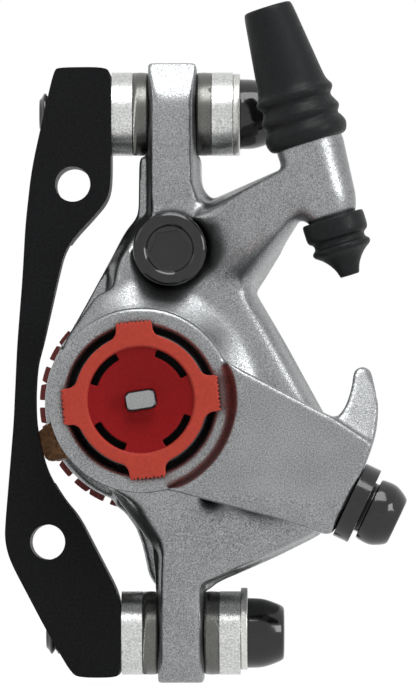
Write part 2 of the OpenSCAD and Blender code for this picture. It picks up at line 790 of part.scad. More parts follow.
// Outboard tab with a serrated end and concave roots
module knob_tab() {
    tip = knob_tip_d / 2;
    half = knob_tab_w / 2;
    disc_r = knob_disc_d / 2;
    fillet = 1.3;
    reach = sqrt(pow(disc_r + fillet, 2) - pow(half + fillet, 2));
    touch = [reach, half + fillet] * disc_r / (disc_r + fillet);
    teeth = 8;
    step = knob_tab_w / teeth;
    polygon(concat([[6, -half]],
        [for (i = [0 : teeth - 1], p = [[-0.35, 0], [0, 0.35], [0, 0.75]])
            [tip + p[0], -half + step * (i + p[1])]],
        [[tip - 0.35, half], [6, half]]));
    for (side = [-1, 1]) scale([1, side]) difference() {
        polygon([[8, half - 0.5], [reach, half - 0.5],
            [reach, half + fillet], touch, touch * 0.9]);
        translate([reach, half + fillet]) circle(r = fillet);
    }
}

module outboard_knob() {
    slot_r = 6.86;
    slot_w = 1.1;
    slot_sweep = 44;
    slot_turn = 51.5;
    inner_r = 7.6;
    color("#a52b22") upright() on_piston() difference() {
        union() {
            translate([0, 0, knob_under]) linear_extrude(knob_top
                - knob_under) {
                circle(d = knob_disc_d);
                for (turn = [0 : 90 : 270]) rotate(knob_tab_turn + turn)
                    knob_tab();
            }
            // Claws that grip the nut's rim
            for (turn = [0 : 90 : 270])
                rotate(slot_turn + turn + slot_sweep / 2 + 12)
                    rotate_extrude(angle = 20) translate([7, 12])
                        square([0.8, 2]);
        }
        translate([0, 0, knob_top - 0.8]) cylinder(r = inner_r, h = 2);
        // Hollow over the nut
        translate([0, 0, knob_under - past])
            cylinder(r = 6.9, h = past + 0.9);
        for (turn = [0 : 90 : 270])
            rotate(slot_turn + turn - slot_sweep / 2)
                rotate_extrude(angle = slot_sweep)
                    translate([slot_r - slot_w / 2, 10]) square([slot_w, 8]);
        rotate(pin_turn) translate([-2.05 - 0.06, -1.06, 10])
            cube([4.22, 2.12, 8]);
    }
}

module outboard_indexer() {
    color("#3a3c3f") upright()
        ring(piston, 8.5, 9.5, arm_floor + 0.01, arm_floor + 0.25);
}

// Pads, feet and inboard adjuster

module pressure_foot() {
    color("#8d9196") upright() difference() {
        union() {
            disc(piston, 9.6, out_plate_back + 0.01, out_plate_back + 1.5);
            disc(piston, 4.4, out_plate_back + 0.01, -5.6);
        }
        disc(piston, 2.98, -7.9, 0);
    }
}

// Backing plate with the tab that the pad is pulled out by
module pad_plate(low, high) {
    upright() on_piston() translate([0, 0, low]) linear_extrude(high - low) {
        pad_face(0);
        rotate(pad_lean) polygon([[8, -3.4], [12.6, -3], [15.8, -2.2],
            [16.15, -1.6], [16.15, 1.6], [15.8, 2.2], [12.6, 3],
            [8, 3.4]]);
    }
}

module pad_lining(low, high) {
    upright() on_piston() translate([0, 0, low]) linear_extrude(high - low)
        difference() {
            pad_face(-1.2);
            // Groove that clears the spring's leg
            rotate(pad_lean) translate([-14, -14]) square([5.2, 28]);
        }
}

module outboard_pad_plate() {
    color("#5a3a26") pad_plate(out_plate_face, out_plate_back);
}
module outboard_lining() {
    color("#6b5a4c") pad_lining(out_lining_face, out_plate_face - 0.005);
}
module inboard_lining() {
    color("#6b5a4c") pad_lining(in_plate_face + 0.005, in_lining_face);
}
module inboard_pad_plate() {
    color("#5a3a26") pad_plate(in_plate_back, in_plate_face);
}

// Spring sheet: two legs beside the linings and a bow through the bridge
module pad_spring() {
    leg_gap = 2.1;
    sheet = 0.3;
    leg_from = -11;
    leg_to = -9.2;
    half = 6.6;
    color("#a8abae") upright() on_piston() rotate(pad_lean) {
        for (side = [-1, 1])
            translate([leg_from, -half, rotor_level + side * leg_gap
                - sheet / 2])
                cube([leg_to - leg_from, 2 * half, sheet]);
        translate([leg_from - sheet, -half / 2, rotor_level - leg_gap
            - sheet / 2])
            cube([sheet + 0.05, half, 2 * leg_gap + sheet]);
    }
}

module inboard_foot_screw() {
    color("#8d9196") upright() on_piston() translate([0, 0, 0]) union() {
        translate([0, 0, -25]) cylinder(r = 9.4, h = 25 + in_plate_back
            - 0.01);
        translate([0, 0, -29]) cylinder(r = 8, h = 4 + sink);
        translate([0, 0, -34.2]) cylinder(r = 3.4, h = 6, $fn = 6);
    }
}

module inboard_knob() {
    r = inboard_knob_d / 2;
    low = -34.6;
    high = inner_face - play;
    color("#7c1f1a") upright() on_piston() difference() {
        translate([0, 0, low]) linear_extrude(high - low) difference() {
            circle(r = r);
            for (i = [0 : inboard_gaps - 1]) rotate(i * 360 / inboard_gaps) {
                translate([r - 1.3, -0.55]) square([3, 1.1]);
                rotate(180 / inboard_gaps) polygon([[r - 0.8, 0],
                    [r + 0.5, -0.5], [r + 0.5, 0.5]]);
            }
            circle(r = 3.46, $fn = 6);
        }
        // Dished back with four finger hollows
        translate([0, 0, low - past]) cylinder(r = 10.5, h = past + 0.9);
        for (turn = [0 : 90 : 270]) rotate(turn + 45)
            translate([12.6, 0, low - past]) cylinder(r = 1.4, h = past + 0.9);
        // Room for the click ring
        translate([0, 0, high - 0.9]) cylinder(r = 12.6, h = 2);
    }
}

module inboard_indexer() {
    color("#3a3c3f") upright()
        ring(piston, 10.6, 12.1, inner_face - 0.5, inner_face - 0.01);
}

module tension_screw() {
    color("#141517") upright() difference() {
        disc(tension_at, 1.25, -5.5, web_face + 1.2);
        translate([tension_at[0], tension_at[1], web_face])
            cylinder(r = 0.75, h = 3, $fn = 6);
    }
}

adapter();
outer_housing();
inner_housing();
body_bolts();
upper_mount_bolt();
lower_mount_bolt();
upper_cup_washers();
upper_ball_washers();
upper_flat_washer();
lower_cup_washers();
lower_ball_washers();
lower_flat_washer();
cable_boot_top();
cable_boot_bottom();
lever_arm();
arm_nut();
anchor_washer();
anchor_bolt();
return_spring();
dust_seal();
cam_bush();
cam_seal();
drive_cam();
ball_cage();
balls();
fixed_race();
foot_screw();
outboard_knob();
outboard_indexer();
pressure_foot();
outboard_pad_plate();
outboard_lining();
pad_spring();
inboard_lining();
inboard_pad_plate();
inboard_foot_screw();
inboard_knob();
inboard_indexer();
tension_screw();
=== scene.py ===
"""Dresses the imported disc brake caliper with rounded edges, finishes and a studio."""

import json
import math

import bmesh
import bpy
from bpy.props import FloatProperty, FloatVectorProperty, IntProperty, PointerProperty
from bpy.types import Operator, Panel, PropertyGroup
from mathutils import Matrix, Vector

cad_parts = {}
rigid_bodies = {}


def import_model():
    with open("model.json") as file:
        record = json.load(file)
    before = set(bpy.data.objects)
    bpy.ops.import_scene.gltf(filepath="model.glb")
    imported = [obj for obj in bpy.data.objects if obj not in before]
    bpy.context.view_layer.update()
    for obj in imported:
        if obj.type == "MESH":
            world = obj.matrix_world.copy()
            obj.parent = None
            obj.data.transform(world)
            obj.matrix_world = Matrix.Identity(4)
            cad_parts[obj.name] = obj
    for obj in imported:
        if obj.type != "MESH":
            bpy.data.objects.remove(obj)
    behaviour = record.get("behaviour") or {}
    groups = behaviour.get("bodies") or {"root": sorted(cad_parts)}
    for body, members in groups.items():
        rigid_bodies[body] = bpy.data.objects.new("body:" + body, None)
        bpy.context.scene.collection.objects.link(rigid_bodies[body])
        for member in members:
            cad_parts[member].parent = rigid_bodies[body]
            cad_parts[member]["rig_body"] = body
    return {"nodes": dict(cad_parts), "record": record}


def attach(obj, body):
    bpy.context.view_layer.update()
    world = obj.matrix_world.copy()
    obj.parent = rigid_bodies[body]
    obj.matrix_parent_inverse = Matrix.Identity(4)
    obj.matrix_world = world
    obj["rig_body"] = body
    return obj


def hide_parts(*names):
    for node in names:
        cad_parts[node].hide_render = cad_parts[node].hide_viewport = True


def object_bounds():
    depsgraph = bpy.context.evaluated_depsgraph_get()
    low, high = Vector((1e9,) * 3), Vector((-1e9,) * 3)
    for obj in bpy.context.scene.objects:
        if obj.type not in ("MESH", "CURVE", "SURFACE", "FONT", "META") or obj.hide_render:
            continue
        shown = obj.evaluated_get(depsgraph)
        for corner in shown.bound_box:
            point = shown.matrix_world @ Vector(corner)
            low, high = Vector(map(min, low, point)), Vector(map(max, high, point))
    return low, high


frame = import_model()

bl_info = {
    "name": "Disc Brake Caliper",
    "version": (1, 0, 0),
    "blender": (4, 5, 0),
    "location": "3D View > Sidebar > Brake",
    "description": "Edges, finishes and studio of a mechanical disc brake caliper",
    "category": "Add Mesh",
}

CAD_BOX = [list(corner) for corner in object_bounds()]
MM = 0.001


# Property helpers


def length(name, description, default):
    """A length in metres, shown in the scene's unit."""
    return FloatProperty(
        name=name, description=description, default=default, min=0.0, precision=5, unit="LENGTH"
    )


def colour(name, description, default):
    """A linear colour."""
    return FloatVectorProperty(
        name=name, description=description, default=default, size=3, min=0.0, max=1.0, subtype="COLOR"
    )


def share(name, description, default):
    """A value from nothing to all."""
    return FloatProperty(
        name=name, description=description, default=default, min=0.0, max=1.0, subtype="FACTOR")


class CastingSettings(PropertyGroup):
    """Sizes and colours of the cast body and arm."""

    body_cell: length("Body cell", "Cell of the housings' skin; edges round over about two cells", 0.36 * MM)
    arm_cell: length("Arm cell", "Cell of the lever arm's skin", 0.24 * MM)
    body_softening: IntProperty(
        name="Body softening", description="Smoothing passes on the outer housing", default=24)
    inner_softening: IntProperty(
        name="Inner softening", description="Smoothing passes on the inner housing", default=14)
    dome_softening: IntProperty(
        name="Dome softening", description="Further passes on the dome of the body", default=120)
    arm_softening: IntProperty(name="Arm softening", description="Smoothing passes on the arm", default=45)
    light_silver: colour("Light silver", "Lighter grains of the blasted finish", (0.385, 0.393, 0.397))
    dark_silver: colour("Dark silver", "Darker grains of the blasted finish", (0.15, 0.155, 0.16))
    roughness: share("Roughness", "Roughness of the blasted finish", 0.33)


class HardwareSettings(PropertyGroup):
    """Edge sizes and colours of the adapter, bolts and washers."""

    adapter_edge: length("Adapter edge", "Width of the adapter's broken edges", 0.42 * MM)
    bolt_edge: length("Bolt edge", "Width of the bolts' broken edges", 0.12 * MM)
    washer_edge: length("Washer edge", "Width of the washers' broken edges", 0.28 * MM)
    # Also the colour of the painted shade in the lever arm's well.
    anodised: colour("Anodised black", "Adapter colour", (0.0072, 0.0075, 0.008))
    black_steel: colour("Black steel", "Colour of the black screws", (0.005, 0.005, 0.0055))
    cup_light: colour("Cup washer", "Light tone of the cup washers", (0.58, 0.59, 0.58))
    ball_light: colour("Ball washer", "Light tone of the ball washers", (0.13, 0.13, 0.123))


class RubberSettings(PropertyGroup):
    """Skin and colour of the cable boots."""

    cell: length("Skin cell", "Cell of the boots' skin", 0.15 * MM)
    softening: IntProperty(name="Softening", description="Smoothing passes on the boots", default=2)
    black: colour("Rubber", "Colour of the rubber", (0.0075, 0.0082, 0.0088))


class KnobSettings(PropertyGroup):
    """Edges and colours of the plastic pad adjusters."""

    edge: length("Edge", "Width of the knobs' rounded edges", 0.16 * MM)
    red: colour("Red", "Colour of the outboard knob", (0.345, 0.042, 0.028))
    cell: length("Cell", "Cell of the outboard knob's skin", 0.125 * MM)
    # The dish's darker red is painted shade of the knob's recess.
    dish_shade_red: colour("Dish red", "Colour inside the outboard knob's dish", (0.19, 0.007, 0.008))
    dark_red: colour("Dark red", "Colour of the inboard knob", (0.16, 0.020, 0.016))


class StageSettings(PropertyGroup):
    """Camera, floor and light."""

    seen_width: length("Seen width", "Width of the picture at the adapter's face", 59.09 * MM)
    distance: length("Distance", "Distance from the camera to the adapter's face", 1.5)
    azimuth: FloatProperty(
        name="Azimuth", description="Turn of the camera toward +X", default=math.radians(0.8),
        subtype="ANGLE")
    elevation: FloatProperty(
        name="Elevation", description="Height of the camera", default=math.radians(-0.95), subtype="ANGLE")
    floor_drop: length("Floor drop", "Gap between the caliper's lowest point and the floor", 0.0004)
    side_light: FloatProperty(name="Side light", description="Brightness of the tent's walls", default=0.8)
    front_light: FloatProperty(
        name="Front light", description="Brightness on the camera's side", default=0.14)
    back_light: FloatProperty(name="Back light", description="Brightness behind the caliper", default=0.22)
    glow: share("Floor glow", "Share of the floor's white that needs no lamp", 0.9)


# Node helpers


def add_node(tree, kind, inputs=None, **settings):
    """A node with its settings, and its inputs set to values or linked from sockets."""
    made = tree.nodes.new(kind)
    for name, value in settings.items():
        setattr(made, name, value)
    for key, value in (inputs or {}).items():
        if isinstance(value, bpy.types.NodeSocket):
            tree.links.new(value, made.inputs[key])
        else:
            made.inputs[key].default_value = value
    return made


def new_group(name, inputs, outputs):
    """An empty shader node group with named sockets, and its input and output nodes."""
    group = bpy.data.node_groups.new(name, "ShaderNodeTree")
    for label, kind, value in inputs:
        socket = group.interface.new_socket(name=label, in_out="INPUT", socket_type=kind)
        socket.default_value = value
    for label, kind in outputs:
        group.interface.new_socket(name=label, in_out="OUTPUT", socket_type=kind)
    return group, group.nodes.new("NodeGroupInput"), group.nodes.new("NodeGroupOutput")


FLOAT = "NodeSocketFloat"
COLOUR = "NodeSocketColor"


def grain_group():
    """Grains of two tones with their own roughness and relief, over slow blotches."""
    name = "Grain"
    if name in bpy.data.node_groups:
        return bpy.data.node_groups[name]
    inputs = [
        ("Scale", FLOAT, 5000.0), ("Light", COLOUR, (0.8, 0.8, 0.8, 1.0)),
        ("Dark", COLOUR, (0.4, 0.4, 0.4, 1.0)), ("Smoothest", FLOAT, 0.3), ("Roughest", FLOAT, 0.5),
    ]
    group, given, result = new_group(
        name, inputs, [("Colour", COLOUR), ("Roughness", FLOAT), ("Height", FLOAT)])
    where = add_node(group, "ShaderNodeTexCoord").outputs["Object"]
    fine = add_node(
        group, "ShaderNodeTexNoise",
        {"Vector": where, "Scale": given.outputs["Scale"], "Detail": 2.0, "Roughness": 0.6})
    slow_scale = add_node(
        group, "ShaderNodeMath", {0: given.outputs["Scale"], 1: 0.035}, operation="MULTIPLY")
    slow = add_node(
        group, "ShaderNodeTexNoise", {"Vector": where, "Scale": slow_scale.outputs[0], "Detail": 2.0})
    sharp = add_node(
        group, "ShaderNodeMapRange", {"Value": fine.outputs["Fac"], "From Min": 0.34, "From Max": 0.68})
    blotch = add_node(
        group, "ShaderNodeMapRange",
        {"Value": slow.outputs["Fac"], "From Min": 0.3, "From Max": 0.7, "To Min": -0.1, "To Max": 0.1})
    tone = add_node(
        group, "ShaderNodeMath", {0: sharp.outputs[0], 1: blotch.outputs[0]}, operation="ADD", use_clamp=True)
    mixed = add_node(
        group, "ShaderNodeMix",
        {"Factor": tone.outputs[0], "A": given.outputs["Dark"], "B": given.outputs["Light"]},
        data_type="RGBA")
    rough = add_node(group, "ShaderNodeMapRange", {
        "Value": tone.outputs[0], "To Min": given.outputs["Roughest"], "To Max": given.outputs["Smoothest"]})
    group.links.new(mixed.outputs["Result"], result.inputs["Colour"])
    group.links.new(rough.outputs[0], result.inputs["Roughness"])
    group.links.new(fine.outputs["Fac"], result.inputs["Height"])
    return group


def turning_group():
    """Marks left by a lathe along X, in two tones."""
    name = "Turning"
    if name in bpy.data.node_groups:
        return bpy.data.node_groups[name]
    inputs = [
        ("Scale", FLOAT, 900.0), ("Light", COLOUR, (0.8, 0.8, 0.8, 1.0)),
        ("Dark", COLOUR, (0.5, 0.5, 0.5, 1.0)),
    ]
    group, given, result = new_group(
        name, inputs, [("Colour", COLOUR), ("Roughness", FLOAT), ("Height", FLOAT)])
    where = add_node(group, "ShaderNodeTexCoord").outputs["Object"]
    stretch = add_node(group, "ShaderNodeVectorMath", {0: where, 1: (1.0, 0.06, 0.06)}, operation="MULTIPLY")
    lines = add_node(
        group, "ShaderNodeTexNoise",
        {"Vector": stretch.outputs[0], "Scale": given.outputs["Scale"], "Detail": 4.0, "Roughness": 0.65})
    specks = add_node(group, "ShaderNodeTexNoise", {"Vector": where, "Scale": 4200.0, "Detail": 1.0})
    both = add_node(
        group, "ShaderNodeMix", {"Factor": 0.45, "A": lines.outputs["Fac"], "B": specks.outputs["Fac"]},
        data_type="FLOAT")
    tone = add_node(
        group, "ShaderNodeMapRange", {"Value": both.outputs["Result"], "From Min": 0.38, "From Max": 0.62})
    mixed = add_node(
        group, "ShaderNodeMix",
        {"Factor": tone.outputs[0], "A": given.outputs["Dark"], "B": given.outputs["Light"]},
        data_type="RGBA")
    rough = add_node(group, "ShaderNodeMapRange", {"Value": tone.outputs[0], "To Min": 0.38, "To Max": 0.25})
    group.links.new(mixed.outputs["Result"], result.inputs["Colour"])
    group.links.new(rough.outputs[0], result.inputs["Roughness"])
    group.links.new(both.outputs["Result"], result.inputs["Height"])
    return group


def finish_of(name, group, values, relief, **shader):
    """A material whose colour, roughness and relief come from one of the node groups."""
    material = bpy.data.materials.new(name)
    material.use_nodes = True
    tree = material.node_tree
    principled = tree.nodes["Principled BSDF"]
    for socket, value in shader.items():
        principled.inputs[socket.replace("_", " ")].default_value = value
    effect = tree.nodes.new("ShaderNodeGroup")
    effect.node_tree = group
    for socket, value in values.items():
        effect.inputs[socket].default_value = value
    bump = add_node(
        tree, "ShaderNodeBump", {"Height": effect.outputs["Height"], "Distance": relief, "Strength": 1.0})
    tree.links.new(effect.outputs["Colour"], principled.inputs["Base Color"])
    tree.links.new(effect.outputs["Roughness"], principled.inputs["Roughness"])
    tree.links.new(bump.outputs["Normal"], principled.inputs["Normal"])
    return material


def tones(tint, spread):
    """A light and a dark tone round a colour, for a node group."""
    light = [min(1.0, c * (1 + spread)) for c in tint] + [1.0]
    dark = [c * (1 - spread) for c in tint] + [1.0]
    return {"Light": light, "Dark": dark}


def cached(build):
    """Builds a material once, however many pieces take it."""
    made = {}

    def get():
        if build not in made:
            made[build] = build()
        return made[build]

    return get


@cached
def blasted_silver():
    """Bead-blasted aluminium with a sparkling grain."""
    casting = bpy.context.scene.brake_casting
    values = {
        "Scale": 5200.0, "Light": [*casting.light_silver, 1.0], "Dark": [*casting.dark_silver, 1.0],
        "Smoothest": casting.roughness - 0.08, "Roughest": casting.roughness + 0.08,
    }
    return finish_of("blasted_silver", grain_group(), values, 0.014 * MM, Metallic=1.0)


@cached
def anodised_black_and_well_shade():
    """Satin black anodised plate; the same black is painted shade in the lever arm's well."""
    values = {
        "Scale": 2600.0, "Smoothest": 0.36, "Roughest": 0.52,
        **tones(bpy.context.scene.brake_hardware.anodised, 0.3)}
    return finish_of("anodised_black_and_well_shade", grain_group(), values, 0.008 * MM, Specular_IOR_Level=0.06)


@cached
def black_steel():
    """Black oxide on turned steel."""
    values = {
        "Scale": 3000.0, "Smoothest": 0.2, "Roughest": 0.32,
        **tones(bpy.context.scene.brake_hardware.black_steel, 0.4)}
    return finish_of("black_steel", grain_group(), values, 0.004 * MM, Specular_IOR_Level=0.1)


@cached
def gloss_black():
    """Gloss black plating."""
    values = {
        "Scale": 1800.0, "Smoothest": 0.07, "Roughest": 0.16,
        **tones(bpy.context.scene.brake_hardware.black_steel, 0.4)}
    return finish_of("gloss_black", grain_group(), values, 0.003 * MM)


@cached
def cup_steel():
    """Light turned steel of the cup washers."""
    values = {
        "Scale": 3600.0, "Smoothest": 0.24, "Roughest": 0.34,
        **tones(bpy.context.scene.brake_hardware.cup_light, 0.28)}
    return finish_of("cup_steel", grain_group(), values, 0.008 * MM, Metallic=1.0)


@cached
def ball_steel():
    """Darker steel of the ball washers."""
    return finish_of(
        "ball_steel", turning_group(), tones(bpy.context.scene.brake_hardware.ball_light, 0.15), 0.005 * MM,
        Metallic=1.0)


@cached
def flat_steel():
    """Bright rolled steel of the thin washers and the spring sheet."""
    return finish_of("flat_steel", turning_group(), tones((0.6, 0.6, 0.58), 0.25), 0.006 * MM, Metallic=1.0)


@cached
def ground_steel():
    """Ground and hardened steel of the mechanism."""
    values = {"Scale": 2400.0, "Smoothest": 0.22, "Roughest": 0.4, **tones((0.55, 0.56, 0.57), 0.2)}
    return finish_of("ground_steel", grain_group(), values, 0.004 * MM, Metallic=1.0)


@cached
def bright_pin():
    """Pale zinc on the adjuster's tip."""
    values = {"Scale": 3800.0, "Smoothest": 0.32, "Roughest": 0.48, **tones((0.27, 0.275, 0.275), 0.12)}
    return finish_of("bright_pin", grain_group(), values, 0.01 * MM, Metallic=0.85)


@cached
def bearing_steel():
    """Polished ball steel."""
    values = {"Scale": 1500.0, "Smoothest": 0.05, "Roughest": 0.12, **tones((0.8, 0.8, 0.81), 0.05)}
    return finish_of("bearing_steel", grain_group(), values, 0.001 * MM, Metallic=1.0)


@cached
def bronze():
    """Sintered bronze."""
    values = {"Scale": 3200.0, "Smoothest": 0.3, "Roughest": 0.5, **tones((0.6, 0.44, 0.2), 0.2)}
    return finish_of("bronze", grain_group(), values, 0.006 * MM, Metallic=1.0)


@cached
def boot_rubber():
    """Moulded rubber with a soft sheen."""
    values = {
        "Scale": 2200.0, "Smoothest": 0.36, "Roughest": 0.5,
        **tones(bpy.context.scene.brake_rubber.black, 0.25)}
    return finish_of("boot_rubber", grain_group(), values, 0.015 * MM, Specular_IOR_Level=0.15)


@cached
def red_plastic():
    """Moulded red plastic of the outboard knob."""
    values = {
        "Scale": 2800.0, "Smoothest": 0.38, "Roughest": 0.5, **tones(bpy.context.scene.brake_knob.red, 0.1)}
    return finish_of("red_plastic", grain_group(), values, 0.01 * MM, Specular_IOR_Level=0.1)


@cached
def dish_painted_shade():
    """Darker red painted in the outboard knob's dish, as painted shade of its recess."""
    values = {
        "Scale": 2800.0, "Smoothest": 0.34, "Roughest": 0.46,
        **tones(bpy.context.scene.brake_knob.dish_shade_red, 0.1)}
    return finish_of("dish_painted_shade", grain_group(), values, 0.008 * MM, Specular_IOR_Level=0.06)


@cached
def dark_red_plastic():
    """Moulded dark red plastic of the inboard knob."""
    values = {
        "Scale": 2800.0, "Smoothest": 0.4, "Roughest": 0.55,
        **tones(bpy.context.scene.brake_knob.dark_red, 0.15)}
    return finish_of("dark_red_plastic", grain_group(), values, 0.01 * MM)


@cached
def dark_plastic():
    """Dark moulded plastic of the click rings."""
    values = {"Scale": 2800.0, "Smoothest": 0.4, "Roughest": 0.55, **tones((0.03, 0.03, 0.032), 0.2)}
    return finish_of("dark_plastic", grain_group(), values, 0.008 * MM)


@cached
def copper_brown():
    """Copper brown coat of the backing plates."""
    values = {"Scale": 2000.0, "Smoothest": 0.32, "Roughest": 0.5, **tones((0.16, 0.075, 0.03), 0.3)}
    return finish_of("copper_brown", grain_group(), values, 0.01 * MM, Metallic=0.6)


@cached
def friction_material():
    """Pressed friction lining with metal specks."""
    values = {"Scale": 1500.0, "Smoothest": 0.6, "Roughest": 0.9, **tones((0.13, 0.10, 0.08), 0.55)}
    return finish_of("friction_material", grain_group(), values, 0.05 * MM)


# Mesh helpers


def home_of(node):
    """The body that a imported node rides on, and its material slot in the record."""
    body = frame["nodes"][node]["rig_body"]
    slot = next(s["material_slot"] for s in frame["record"]["subparts"] if s["node"] == node)
    return body, slot


def take(piece, node, material):
    """Puts a piece in a node's place, with the node's body and the given material."""
    body, slot = home_of(node)
    piece.data.materials.clear()
    piece.data.materials.append(material)
    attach(piece, body)
    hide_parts(node)
    return piece


def paint(node, material):
    """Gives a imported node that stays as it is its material."""
    shown = frame["nodes"][node]
    if not shown.material_slots:
        shown.data.materials.append(material)
    for slot in shown.material_slots:
        slot.link = "OBJECT"
        slot.material = material


def welded_copy(node, name):
    """A copy of a node's mesh with its faces joined and its flats made whole."""
    mesh = frame["nodes"][node].data.copy()
    piece = bpy.data.objects.new(name, mesh)
    bpy.context.scene.collection.objects.link(piece)
    work = bmesh.new()
    work.from_mesh(mesh)
    bmesh.ops.remove_doubles(work, verts=work.verts, dist=0.001 * MM)
    bmesh.ops.dissolve_limit(work, angle_limit=math.radians(0.4), verts=work.verts, edges=work.edges)
    work.to_mesh(mesh)
    work.free()
    return piece


def settle(piece):
    """Applies a piece's modifiers to its mesh."""
    graph = bpy.context.evaluated_depsgraph_get()
    mesh = bpy.data.meshes.new_from_object(piece.evaluated_get(graph))
    old = piece.data
    piece.modifiers.clear()
    piece.data = mesh
    bpy.data.meshes.remove(old)
    return piece


def placed(x, y, height):
    """A point of the front drawing, in millimetres, as a point of the frame."""
    return Vector((x, -height, y)) * MM


def closed_solid(name, points, faces):
    """A helper solid from drawing points."""
    mesh = bpy.data.meshes.new(name)
    mesh.from_pydata([placed(*point) for point in points], [], faces)
    piece = bpy.data.objects.new(name, mesh)
    bpy.context.scene.collection.objects.link(piece)
    work = bmesh.new()
    work.from_mesh(mesh)
    bmesh.ops.recalc_face_normals(work, faces=work.faces)
    work.to_mesh(mesh)
    work.free()
    return piece


def prism(name, outline, low, high):
    """An outline of the front drawing carried from one height to another."""
    count = len(outline)
    points = [(x, y, height) for height in (low, high) for x, y in outline]
    sides = [(i, (i + 1) % count, count + (i + 1) % count, count + i) for i in range(count)]
    return closed_solid(name, points, [tuple(range(count)), tuple(range(count, 2 * count)), *sides])


def turned(name, centre, profile, steps=160):
    """A closed profile of radius and height turned about a line toward the viewer."""
    count = len(profile)
    points = []
    for step in range(steps):
        angle = 2 * math.pi * step / steps
        across, up = math.cos(angle), math.sin(angle)
        points += [(centre[0] + r * across, centre[1] + r * up, height) for r, height in profile]
    faces = []
    for step in range(steps):
        here, there = step * count, (step + 1) % steps * count
        faces += [
            (here + i, here + (i + 1) % count, there + (i + 1) % count, there + i) for i in range(count)]
    return closed_solid(name, points, faces)


def wedge(name, start, turn, slope, along, across, depth):
    """A block whose lower face passes through a line of the drawing and leans by a slope."""
    place = (
        Matrix.Translation(Vector(start))
        @ Matrix.Rotation(math.radians(turn), 4, "Z")
        @ Matrix.Rotation(math.radians(slope), 4, "X")
    )
    points = [tuple(place @ Vector((x, y, z))) for x in along for y in across for z in (0.0, depth)]
    faces = [(0, 1, 3, 2), (4, 6, 7, 5), (0, 4, 5, 1), (2, 3, 7, 6), (0, 2, 6, 4), (1, 5, 7, 3)]
    return closed_solid(name, points, faces)


def combine(piece, operation, *others):
    """Cuts helper solids from a piece, or adds them to it, and clears them away."""
    for other in others:
        step = piece.modifiers.new("Combine", "BOOLEAN")
        step.operation = operation
        step.solver = "EXACT"
        step.object = other
    settle(piece)
    for other in others:
        mesh = other.data
        bpy.data.objects.remove(other)
        bpy.data.meshes.remove(mesh)
    return piece


def put_in(piece, other):
    """Adds a helper solid's faces to a piece that gets a skin over all of them."""
    work = bmesh.new()
    work.from_mesh(piece.data)
    work.from_mesh(other.data)
    work.to_mesh(piece.data)
    work.free()
    mesh = other.data
    bpy.data.objects.remove(other)
    bpy.data.meshes.remove(mesh)


def skin_over(piece, cell):
    """An even skin over a piece, like that of a casting or a moulding."""
    skin = piece.modifiers.new("Skin", "REMESH")
    skin.mode = "VOXEL"
    skin.voxel_size = cell
    return settle(piece)


def soften(piece, passes, weight=None):
    """Rounds a skin's edges, more where a weight of the drawing's point is higher."""
    smooth = piece.modifiers.new("Soften", "SMOOTH")
    smooth.factor = 0.5
    smooth.iterations = passes
    if weight:
        group = piece.vertex_groups.new(name="soft")
        for vertex in piece.data.vertices:
            x, depth, y = vertex.co / MM
            group.add((vertex.index,), weight(x, y, -depth), "REPLACE")
        smooth.vertex_group = group.name
    settle(piece)
    piece.vertex_groups.clear()
    piece.data.shade_smooth()
    return piece


def skinned(node, name, cell, passes):
    """A node's form as an even skin whose edges are rounded."""
    return soften(skin_over(welded_copy(node, name), cell), passes)


def broken_edges(node, name, width, segments=3, angle=28.0):
    """A node's form with its sharp edges rounded by a small width."""
    return with_bevel(welded_copy(node, name), width, segments, angle)


def with_bevel(piece, width, segments=3, angle=28.0):
    """A piece with its sharp edges rounded by a small width."""
    bevel = piece.modifiers.new("Edge", "BEVEL")
    bevel.width = width
    bevel.segments = segments
    bevel.limit_method = "ANGLE"
    bevel.angle_limit = math.radians(angle)
    bevel.use_clamp_overlap = True
    bevel.loop_slide = False
    settle(piece)
    piece.data.shade_smooth()
    piece.data.set_sharp_from_angle(angle=SHARP)
    even = piece.modifiers.new("Even", "WEIGHTED_NORMAL")
    even.keep_sharp = True
    even.weight = 80
    return settle(piece)


# Places and sizes in millimetres: the piston's axis, the body bolts and the seat of their heads
PISTON = (11.76, -5.44)
BODY_BOLTS = ((15.7, 16.05), (29.2, -15.3))
HEAD_SEAT = 4.4
HEAD_HEIGHT = 2.8
HEAD_RADIUS = 5.2
# An edge sharper than this stays sharp where the surface is shaded
SHARP = math.radians(38.0)


def around(centre, radius, angle):
    """A point at a distance and an angle from a centre."""
    return (centre[0] + radius * math.cos(angle), centre[1] + radius * math.sin(angle))


def from_piston(x, y):
    """Distance from the piston's axis."""
    return math.hypot(x - PISTON[0], y - PISTON[1])


def band(inner, outer, low, high):
    """Profile of a plain ring, or of a disc where the inner radius is 0."""
    return [(inner, low), (outer, low), (outer, high), (inner, high)]



# Operators, one for each piece or group of like pieces


